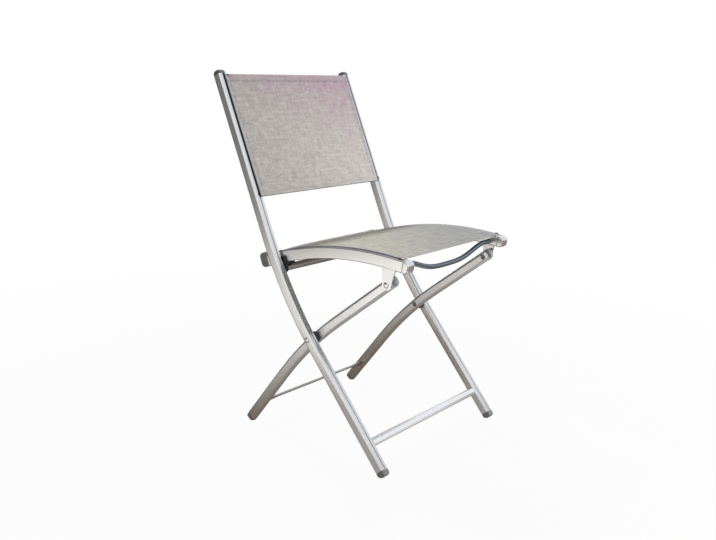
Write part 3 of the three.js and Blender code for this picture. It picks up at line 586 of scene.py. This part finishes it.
dressed = 0
for name, piece in frame["nodes"].items():
    kind = name.removeprefix("right_").removeprefix("left_")
    if kind in FINISH_OF:
        dress(piece, FINISH_OF[kind], ROUND.get(kind, EDGE))
        dressed += 1
print("dressed", dressed, "of", len(frame["nodes"]))

# %% [markdown]
# ## Plugs in the legs
#
# The tail of each rivet is formed inside the leg, through a hole in the leg's inner wall. A moulded plug
# closes the hole. It is turned from a profile: a dished middle, a flat rim and a skirt that fits the hole.
# The profile gives distance from the rivet's axis and depth behind the wall's face.

# %% Plugs
LEG_INNER_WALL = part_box("left_rear_leg")[0].x
DISHED_MIDDLE = [(0.0020, 0.0022), (0.0026, 0.0012)]
FLAT_RIM = [(0.0048, 0.0004), (0.0057, 0.0004)]
SKIRT = [(0.0062, 0.0008), (0.0062, 0.0024)]
PLUG_STEPS = 32


def skin(shape, rings):
    """Faces between rings of vertices that follow each other, and one face over each end."""
    count = len(rings[0])
    for ring, following in zip(rings, rings[1:]):
        for step in range(count):
            after = (step + 1) % count
            shape.faces.new((ring[step], ring[after], following[after], following[step]))
    shape.faces.new(reversed(rings[0]))
    shape.faces.new(rings[-1])


def new_piece(name, shape):
    """An object from a finished bmesh, which is freed."""
    mesh = bpy.data.meshes.new(name)
    shape.to_mesh(mesh)
    shape.free()
    piece = bpy.data.objects.new(name, mesh)
    bpy.context.scene.collection.objects.link(piece)
    return piece


def plug(name, side, axis):
    """A closed disc round an axis along x, on the right where side is -1 and on the left where it is 1."""
    disc = bmesh.new()
    rings = []
    for distance, depth in DISHED_MIDDLE + FLAT_RIM + SKIRT:
        ring = []
        for step in range(PLUG_STEPS):
            turn = 2 * math.pi * step / PLUG_STEPS
            place_y, place_z = axis[0] + distance * math.cos(turn), axis[1] + distance * math.sin(turn)
            ring.append(disc.verts.new((side * (LEG_INNER_WALL + depth), place_y, place_z)))
        rings.append(ring)
    skin(disc, rings)
    bmesh.ops.recalc_face_normals(disc, faces=disc.faces)
    piece = new_piece(name, disc)
    dress(piece, PLUG_PLASTIC, EDGE / 2)
    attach(piece, "legs")
    return piece


plugs = []
for hand, side in (("right", -1), ("left", 1)):
    for pivot, axis in RIVET_AXES.items():
        plugs.append(plug(f"{hand}_{pivot}_plug", side, axis))
print("plugs:", [piece.name for piece in plugs])

# %% [markdown]
# ## Cloth by rows and columns
#
# A stretched sling could be a plane with a solidify modifier, but its edges matter: they turn down into the
# tracks, and the back's top is sewn round a bar. So each sling is a grid. A column says where across the
# chair it lies and how far it lifts off the stretched plane; a row gives a point and an outward direction
# in the side view, and how much of the sag it takes.

# %% Grid cloth
CLOTH = 0.0011
TURNED_DOWN = [(0.0, -0.0036), (0.0, -0.0016), (0.0004, -0.0004), (0.0014, 0.00015)]
OVER_THE_LIP = [(0.0040, 0.0003), (0.0075, 0.0002), (0.0125, 0.0)]
FLAT_COLUMNS = 24


def between(start, end, count):
    """The places that part the way from start to end into count equal steps, without the two ends."""
    return [start + (end - start) * step / count for step in range(1, count)]


def columns_across(track):
    """Columns of (x, lift) from track to track. The edges are given by how far in from the track they lie."""
    edge = [(track - inset, lift) for inset, lift in TURNED_DOWN + OVER_THE_LIP]
    inner = edge[-1][0]
    flat = [(x, 0.0) for x in between(inner, -inner, FLAT_COLUMNS)]
    return edge + flat + [(-x, lift) for x, lift in reversed(edge)]


def sag_across(x, track):
    """The share of the sag at a place between the tracks: all of it in the middle, none in the tracks."""
    return 1 - (x / track) ** 4


def grid_cloth(name, columns, rows, sag, wrap_from=None, narrow=None, top=None):
    """A grid of quads. From row wrap_from on, columns further out than narrow end in one last row at top."""
    sheet = bmesh.new()
    previous = None
    track = max(x for x, _ in columns)
    for index, (point, outward, share) in enumerate(rows):
        wrapped = wrap_from is not None and index >= wrap_from
        line = []
        for x, lift in columns:
            outer = wrapped and abs(x) > narrow
            if outer and index > wrap_from:
                line.append(None)
                continue
            spot, away = top if outer else (point, outward)
            offset = (lift if outer or not wrapped else 0) - sag * sag_across(x, track) * share
            line.append(sheet.verts.new(Vector((x, *spot)) + Vector((0, *away)) * offset))
        for left in range(len(columns) - 1):
            parted = wrapped and (abs(columns[left][0]) > narrow) != (abs(columns[left + 1][0]) > narrow)
            if previous and not parted:
                corners = (previous[left], previous[left + 1], line[left + 1], line[left])
                if all(corners):
                    sheet.faces.new(corners)
        previous = line
    piece = new_piece(name, sheet)
    smooth(piece)
    thicken = piece.modifiers.new("thickness", "SOLIDIFY")
    thicken.thickness = CLOTH
    thicken.offset = 0
    return piece


print("columns across the back:", len(columns_across(BACK_TRACK)))

# %% [markdown]
# ## Stitches
#
# A row of sewing could be a bump in the cloth's finish, but its thread stands up and catches light. So each
# stitch is a short tube of thread, thick in the middle and sunk into the cloth at both ends. The stitches
# follow a run, a list of points on the cloth with the direction that is outward there.

# %% Stitches
STITCH_LENGTH, STITCH_GAP, THREAD_RADIUS = 0.0034, 0.0012, 0.00038
# A stitch's rings: share of its length, then height and thickness in radii of the thread.
STITCH_SHAPE = ((0, -0.9, 0.6), (0.2, 0.1, 1), (0.5, 0.5, 1.1), (0.8, 0.1, 1), (1, -0.9, 0.6))
THREAD_SIDES = 6
LOOK_AHEAD = 0.0005
TINY = 1e-6


def walk(run):
    """The length of a run, and a function for the point and outward direction at a distance along it."""
    lengths = [0.0]
    for (start, _), (end, _) in zip(run, run[1:]):
        lengths.append(lengths[-1] + (end - start).length)

    def at(distance):
        index = max(i for i, value in enumerate(lengths[:-1]) if value <= distance)
        share = (distance - lengths[index]) / (lengths[index + 1] - lengths[index])
        (start, start_outward), (end, end_outward) = run[index], run[index + 1]
        return start.lerp(end, share), start_outward.lerp(end_outward, share).normalized()

    return lengths[-1], at


def stitch(shape, at, first, last):
    """One stitch along a run, from the distance first on. Nothing is looked up beyond last."""
    rings = []
    for share, height, size in STITCH_SHAPE:
        distance = first + share * STITCH_LENGTH
        spot, outward = at(distance)
        next_spot, _ = at(min(distance + LOOK_AHEAD, last))
        side = (next_spot - spot).normalized().cross(outward)
        centre = spot + outward * THREAD_RADIUS * height
        ring = []
        for step in range(THREAD_SIDES):
            turn = 2 * math.pi * step / THREAD_SIDES
            corner = (side * math.cos(turn) + outward * math.sin(turn)) * THREAD_RADIUS * size
            ring.append(shape.verts.new(centre + corner))
        rings.append(ring)
    skin(shape, rings)


def sew(name, runs):
    """Rows of stitches, one for each run."""
    shape = bmesh.new()
    made = 0
    for run in runs:
        reach, at = walk(run)
        for count in range(int(reach / (STITCH_LENGTH + STITCH_GAP))):
            first = count * (STITCH_LENGTH + STITCH_GAP) + STITCH_GAP / 2
            stitch(shape, at, first, reach - TINY)
            made += 1
    bmesh.ops.recalc_face_normals(shape, faces=shape.faces)
    piece = new_piece(name, shape)
    smooth(piece)
    piece.data.materials.append(THREAD)
    print(name, "stitches:", made)
    return piece


print("stitches every", round((STITCH_LENGTH + STITCH_GAP) * 1000, 1), "mm")

# %% [markdown]
# ## Hems
#
# The back's foot and the seat's front and rear are folded under and sewn. The folded layer lies just under
# the cloth, and the row of stitches pulls a small valley. All three share these measures, which count from
# the folded edge.

# %% Hems
HEM_STITCH = 0.0085
HEM_FOLD = (0.0105, 0.0070, 0.0035)
FOLD_UNDER, FOLD_EDGE = 0.0012, 0.0002
VALLEY_HALF, VALLEY_DEPTH = 0.0015, 0.0003
HEM_END = 0.014
EDGE_STEPS = (0.0008, 0.004, HEM_STITCH - VALLEY_HALF, HEM_STITCH, HEM_STITCH + VALLEY_HALF, HEM_END)
THREAD_SINK = 0.0004
THREAD_LIFT = CLOTH / 2 - THREAD_SINK
print("hems sewn", HEM_STITCH * 1000, "mm from the edge")

# %% [markdown]
# ## The back sling
#
# The back is stretched flat between the two posts. At its top the textile runs round a spreader bar and is
# sewn to itself below it, its foot is folded under and sewn, and a seam down each side closes a sleeve. The
# rows climb the posts' front faces, then wind over the bar and come down behind it. Outside the bar's ends
# the cloth goes straight on in the tracks.

# %% Back sling's rows
LEAN = math.pi / 2 + POST_PATH[3]
UPWARD = Vector((math.cos(LEAN), math.sin(LEAN)))
FORWARD = Vector((-math.sin(LEAN), math.cos(LEAN)))
FOOT_ABOVE_BEND = 0.078175
BACK_FOOT = Vector(POST_PATH[0]) - FORWARD * POST_PATH[1] + UPWARD * FOOT_ABOVE_BEND
# The cloth's middle lies this far in front of the post's middle.
FACE = 0.01188
HEM_SEWN = 0.2665
BELOW_HEM, ABOVE_HEM = HEM_SEWN - 0.0045, HEM_SEWN + 0.005
BACK_STEPS, WRAP_STEPS = 20, 10
BAR_PLAY = 0.0003
# Rows that come down behind the bar: how far up the post, and how far in front of its middle.
BEHIND_BAR = ((0.2745, 0.0019), (0.2712, 0.0058), (0.2685, 0.0096), (HEM_SEWN, 0.01065), (0.2600, 0.0107))

bar_low, bar_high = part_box("back_spreader")
bar_from_foot = middle_of("back_spreader").yz - BACK_FOOT
BAR_HEIGHT, BAR_FRONT = bar_from_foot.dot(UPWARD), bar_from_foot.dot(FORWARD)
HEM_RADIUS = (bar_high.z - bar_low.z) / 2 + BAR_PLAY + CLOTH / 2


def back_point(climb, front):
    """A point in the side view, up the post from the sling's foot and in front of the post's middle."""
    return BACK_FOOT + UPWARD * climb + FORWARD * front


def back_sag(climb):
    """The share of the sag at a height: none at the foot and from the sewn hem up."""
    return math.sin(math.pi * climb / HEM_SEWN) ** 0.5 if climb < HEM_SEWN else 0


def back_rows():
    """The rows from the folded foot to the hem behind the bar, and the row where the winding starts."""
    rows = [(back_point(depth, FACE - FOLD_UNDER), -FORWARD, 0) for depth in HEM_FOLD]
    rows.append((back_point(FOLD_EDGE, FACE - FOLD_UNDER / 2), -UPWARD, 0))
    climbs = [*EDGE_STEPS, *between(HEM_END, BELOW_HEM, BACK_STEPS)]
    climbs += [HEM_SEWN - VALLEY_HALF, HEM_SEWN, HEM_SEWN + VALLEY_HALF, ABOVE_HEM, BAR_HEIGHT]
    for climb in climbs:
        valley = VALLEY_DEPTH if climb in (HEM_STITCH, HEM_SEWN) else 0
        rows.append((back_point(climb, FACE - valley), FORWARD, back_sag(climb)))
    wrap_from = len(rows)
    for step in range(1, WRAP_STEPS + 1):
        turn = math.pi * step / WRAP_STEPS
        outward = FORWARD * math.cos(turn) + UPWARD * math.sin(turn)
        rows.append((back_point(BAR_HEIGHT, BAR_FRONT) + outward * HEM_RADIUS, outward, 0))
    rows += [(back_point(climb, front), -FORWARD, 0) for climb, front in BEHIND_BAR]
    return rows, wrap_from


back_grid, wrap_from = back_rows()
print("back sling rows:", len(back_grid), "of which up the post:", wrap_from)

# %% [markdown]
# ## The back's cloth and seams
#
# The rows and columns become one sheet. Two rows of stitches run across it, at the top hem and at the foot,
# and one climbs each side, a little inside the track. The side rows follow the sag, so that they stay on the
# cloth.

# %% Back sling and its sewing
BACK_SAG = 0.0012
HEM_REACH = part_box("left_post")[0].x - 0.001
SEWN_REACH = HEM_REACH - 0.001
SIDE_SEAM_FROM, SIDE_SEAM_TO, SIDE_SEAM_STEPS = 0.010, HEM_SEWN - 0.002, 40

back_top = (back_point(BAR_HEIGHT + HEM_RADIUS, FACE), FORWARD)
back_columns = columns_across(BACK_TRACK)
back_cloth = grid_cloth("back_cloth", back_columns, back_grid, BACK_SAG, wrap_from, HEM_REACH, back_top)
back_cloth.data.materials.append(BACK_CLOTH)


def sewn_across(climb):
    point = back_point(climb, FACE + THREAD_LIFT)
    return [(Vector((x, *point)), Vector((0, *FORWARD))) for x in (-SEWN_REACH, SEWN_REACH)]


def sewn_up(x):
    run = []
    for step in range(SIDE_SEAM_STEPS + 1):
        climb = SIDE_SEAM_FROM + (SIDE_SEAM_TO - SIDE_SEAM_FROM) * step / SIDE_SEAM_STEPS
        sag = BACK_SAG * sag_across(x, BACK_TRACK) * back_sag(climb)
        run.append((Vector((x, *back_point(climb, FACE + THREAD_LIFT - sag))), Vector((0, *FORWARD))))
    return run


back_runs = [sewn_up(-SIDE_SEAM), sewn_up(SIDE_SEAM), sewn_across(HEM_SEWN), sewn_across(HEM_STITCH)]
back_sewing = sew("back_sewing", back_runs)
print("back sling vertices:", len(back_cloth.data.vertices))

# %% [markdown]
# ## The seat sling
#
# The seat is stretched over the arched rails, with its edges in the tracks on the rails' tops. It is taut
# along the arch and sags a little between the rails, apart from the rear, where nobody's weight reaches it
# and the cloth still stands up a little. Front and rear edges are folded under and sewn.

# %% Seat sling's rows
ARCH_CENTRE, ARCH_RADIUS = Vector(RAIL_PATH[0]), RAIL_PATH[1]
to_crossbar = Vector(JOINT_AT["slider_turn"]) - ARCH_CENTRE
CROSSBAR_ANGLE = math.atan2(to_crossbar.y, to_crossbar.x)
# The cloth's middle lies this far above the rail's middle. Its hems are measured from the crossbar.
SEAT_TOP = 0.01338
SEAT_FRONT, SEAT_REAR, SEAT_STEPS = 0.3208, -0.0118, 24
# The sag left at the front hem, the crown at the rear hem, and the share of the seat that the crown takes.
EDGE_SAG, CROWN, CROWN_SHARE = 0.35, 2.6, 0.4


def seat_point(reach, lift):
    """A point forward of the crossbar along the arch and above the rail's middle, and its outward way."""
    angle = CROSSBAR_ANGLE + reach / ARCH_RADIUS
    outward = Vector((math.cos(angle), math.sin(angle)))
    return ARCH_CENTRE + outward * (ARCH_RADIUS + lift), outward


def seat_sag(reach):
    """Sag between the rails, in shares of the deepest. Below zero the cloth stands up, as over the rear."""
    share = (reach - SEAT_REAR) / (SEAT_FRONT - SEAT_REAR)
    crown = max(0.0, 1 - share / CROWN_SHARE) ** 2
    return EDGE_SAG + (1 - EDGE_SAG) * math.sin(math.pi * share) - CROWN * crown


def folded_under(edge, depth):
    point, outward = seat_point(edge + depth, SEAT_TOP - FOLD_UNDER)
    return point, -outward, -seat_sag(edge)


def seat_rows():
    """The rows from the fold under the rear hem to the fold under the front hem."""
    rows = [folded_under(SEAT_REAR, depth) for depth in HEM_FOLD]
    reaches = [SEAT_REAR + step for step in EDGE_STEPS]
    reaches += between(SEAT_REAR + HEM_END, SEAT_FRONT - HEM_END, SEAT_STEPS)
    reaches += [SEAT_FRONT - step for step in reversed(EDGE_STEPS)]
    for reach in reaches:
        valley = VALLEY_DEPTH if reach in (SEAT_REAR + HEM_STITCH, SEAT_FRONT - HEM_STITCH) else 0
        rows.append((*seat_point(reach, SEAT_TOP - valley), seat_sag(reach)))
    rows += [folded_under(SEAT_FRONT, -depth) for depth in reversed(HEM_FOLD)]
    return rows


seat_grid = seat_rows()
print("seat sling rows:", len(seat_grid))

# %% [markdown]
# ## The seat's cloth and seams
#
# One row of stitches runs along each hem, from rail to rail. It could be a straight line, as on the back, but
# the rear hem is crowned and the front hem sags, so the runs have points enough to follow both.

# %% Seat sling and its sewing
SEAT_SAG = 0.0022
SEAT_SEWN_REACH = SEAT_TRACK - 0.0184
SEAT_SEAM_STEPS = 24

seat_cloth = grid_cloth("seat_cloth", columns_across(SEAT_TRACK), seat_grid, SEAT_SAG)
seat_cloth.data.materials.append(SEAT_CLOTH)


def sewn_over(reach):
    run = []
    for step in range(SEAT_SEAM_STEPS + 1):
        x = SEAT_SEWN_REACH * (1 - 2 * step / SEAT_SEAM_STEPS)
        sag = SEAT_SAG * sag_across(x, SEAT_TRACK) * seat_sag(reach)
        point, outward = seat_point(reach, SEAT_TOP + THREAD_LIFT - sag)
        run.append((Vector((x, *point)), Vector((0, *outward))))
    return run


seat_sewing = sew("seat_sewing", [sewn_over(SEAT_FRONT - HEM_STITCH), sewn_over(SEAT_REAR + HEM_STITCH)])
print("seat sling vertices:", len(seat_cloth.data.vertices))

# %% [markdown]
# ## Joining the cloth to the moving bodies
#
# The back sling stays with the posts, and the seat sling goes with the rails. Each takes the place of its
# plain CAD sheet, and says the size it was cut to, with its folds and the edges in the tracks.

# %% Cloth on its bodies
BACK_HELD_BY = ["right_post", "left_post", "back_spreader"]
SEAT_HELD_BY = ["right_seat_rail", "left_seat_rail"]

for cloth, sewing, body, node, flat, held_by in (
    (back_cloth, back_sewing, "frame", "back_sling", (0.4362, 0.330), BACK_HELD_BY),
    (seat_cloth, seat_sewing, "seat", "seat_sling", (0.3920, 0.355), SEAT_HELD_BY),
):
    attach(cloth, body)
    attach(sewing, body)
    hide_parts(node)
    print(cloth.name, "is cut to", flat, "metres")

# %% [markdown]
# ## Floor and background
#
# The photograph has a plain white ground. A floor lit to white would pour light onto the chair from below,
# so only what the camera sees, straight or mirrored, is made white, and the floor still takes the chair's
# shadow.

# %% Stage
AMBIENT = 0.50
FLOOR_REACH = 30
FLOOR_TONES = (grey(0.44, 0.06), grey(0.48, 0.06))
NEAR_WHITE = 0.955

scene = bpy.context.scene
scene.view_settings.view_transform = "Standard"


def seen(tree):
    """1 for rays that show the background: straight to the camera, mirrored or through glass."""
    rays = ("Is Camera Ray", "Is Glossy Ray", "Is Transmission Ray")
    straight, mirrored, through = [tree.node("ShaderNodeLightPath", {}, {}, ray) for ray in rays]
    return tree.math("MAXIMUM", tree.math("MAXIMUM", straight, mirrored), through)


def quad(name, corners):
    """One flat face, which is stage and no part of the chair."""
    mesh = bpy.data.meshes.new(name)
    mesh.from_pydata(corners, [], [(0, 1, 2, 3)])
    piece = bpy.data.objects.new(name, mesh)
    scene.collection.objects.link(piece)
    return piece


def level_square(reach, height):
    """The corners of a level square round the chair."""
    return [(reach * x, reach * y, height) for x, y in ((-1, -1), (1, -1), (1, 1), (-1, 1))]


def cover(piece, material, surface):
    """Give a piece a material that shows this surface."""
    surface.tree.links.new(surface.output, surface.tree.nodes["Material Output"].inputs["Surface"])
    piece.data.materials.append(material)


world = bpy.data.worlds.new("white room")
scene.world = world
world.use_nodes = True
background = world.node_tree.nodes["Background"]
sky = AMBIENT + seen(Socket(world.node_tree)) * (1 - AMBIENT)
world.node_tree.links.new(sky.output, background.inputs["Color"])

floor = quad("floor", level_square(FLOOR_REACH, 0))
floor_finish, tree, shader = begin_finish("white floor")
x, y, _ = place(tree)
feed(shader, base_color=vector(x * 3, y * 3, 0.0).noise(2).mix(*FLOOR_TONES), roughness=0.9)
far = apart(x, y).rise(0.5, 2.0)
white = tree.node("ShaderNodeEmission", {}, {"Color": WHITE, "Strength": 1.0})
share = seen(tree) * (NEAR_WHITE + far * (1 - NEAR_WHITE))
lit = Socket(tree.tree, shader.outputs[0])
cover(floor, floor_finish, tree.node("ShaderNodeMixShader", {}, {0: share, 1: lit, 2: white}))
print("floor and world are white")

# %% [markdown]
# ## Lamps
#
# A large soft lamp stands to the chair's left front, a small one high behind it, which lets the back shade
# the rear of the seat, and the white room fills the rest. The lamps themselves aren't mirrored, or the
# posts' fronts would burn out.

# %% Lamps
CHAIR_MIDDLE = Vector((0, 0, 0.5))


def soft_lamp(name, at, width, height, power, colour=(1, 1, 1)):
    """A rectangle of light that faces the chair."""
    lamp = bpy.data.lights.new(name, "AREA")
    lamp.shape = "RECTANGLE"
    lamp.size, lamp.size_y = width, height
    lamp.energy = power
    lamp.color = colour
    holder = bpy.data.objects.new(name, lamp)
    holder.location = at
    holder.rotation_euler = (CHAIR_MIDDLE - Vector(at)).to_track_quat("-Z", "Y").to_euler()
    holder.visible_glossy = False
    scene.collection.objects.link(holder)


soft_lamp("left front lamp", (1.5, -2.1, 1.25), width=1.6, height=1.4, power=46, colour=(0.98, 0.99, 1.0))
soft_lamp("rear lamp", (0.2, 1.45, 2.4), width=0.25, height=0.25, power=34)
print("lamps: left front and rear")

# %% [markdown]
# ## Cards
#
# Satin metal shows its surroundings, so three cards out of the picture shape them, as in a studio. A sheet
# on the floor, brightest to the chair's right, grades the side faces. A dark flag behind the chair gives
# the rails their dark top edges, and a blue card cools the posts' fronts.

# %% Cards
POOL_X, POOL_Y, POOL_REACH, POOL_FALL = -1.78, 0.62, 2, 2.4
UNDER_X, UNDER_Y = 0.1, 0.28
WARM_DULL, POOL_LIGHT = (0.215, 0.178, 0.150, 1), (3.3, 3.27, 3.15, 1)
FRONT_DULL, UNDER_DARK, OUTER_WHITE = (0.47, 0.45, 0.43, 1), (0.205, 0.160, 0.120, 1), grey(0.95)
SHEET_REACH, SHEET_HEIGHT = 6, 0.001
FLAG_CORNERS = [(-4.5, 1.8, 0), (1.6, 1.8, 0), (2.6, 1.1, 3.0), (-4.5, 1.1, 3.0)]
BLUE_CORNERS = [(3.2, 0.2, 0.8), (1.0, -3.2, 0.8), (1.0, -3.2, 3.6), (3.2, 0.2, 3.6)]


def card(name, corners, colour, shades):
    """A flat card out of the camera's sight. colour turns a point's place into what the card sends back."""
    piece = quad(name, corners)
    material, tree, _ = begin_finish(name)
    sent_back = colour(*place(tree))
    cover(piece, material, tree.node("ShaderNodeEmission", {}, {"Color": sent_back, "Strength": 1.0}))
    piece.visible_camera = piece.visible_shadow = piece.visible_transmission = False
    piece.visible_diffuse = shades


def floor_sheet(x, y, _):
    """Bright round a pool beyond the chair's right, dull and warm near the chair, with a painted shadow under
    it.
    """
    depth = x.math("MAXIMUM", (y - POOL_Y) * 1.5, POOL_Y - y)
    inside = x.math("MAXIMUM", 1 - apart(x - POOL_X, depth) / POOL_REACH, 0.0)
    pool = x.math("POWER", inside, POOL_FALL)
    # Under the chair the sheet is dark, a painted shadow of the chair on the floor.
    under = 1 - apart(x - UNDER_X, y - UNDER_Y).rise(0.1, 0.55)
    front = (1 - y.rise(-0.2, 0.2)) * (1 - x.rise(0.1, 0.4)) * x.rise(-1.0, -0.4)
    ahead_of = (1 - y.rise(-0.36, -0.20)) * x.rise(-0.20, 0.0) * (1 - x.rise(0.30, 0.40))
    level = pool.mix(WARM_DULL, POOL_LIGHT)
    level = front.mix(level, FRONT_DULL)
    level = ahead_of.mix(level, OUTER_WHITE)
    level = under.mix(level, UNDER_DARK)
    return (x + y).rise(1.2, 2.6).mix(level, OUTER_WHITE)


def dark_flag(_x, _y, z):
    return z.rise(1.5, 3.0).mix(grey(0.17), grey(0.26))


def blue_card(_x, _y, z):
    return z.rise(0.8, 3.6).mix((0.88, 0.94, 1.0, 1), (0.76, 0.83, 0.93, 1))


card("floor sheet", level_square(SHEET_REACH, SHEET_HEIGHT), floor_sheet, shades=False)
card("dark flag", FLAG_CORNERS, dark_flag, shades=True)
card("blue card", BLUE_CORNERS, blue_card, shades=False)
print("cards: floor sheet, dark flag and blue card")
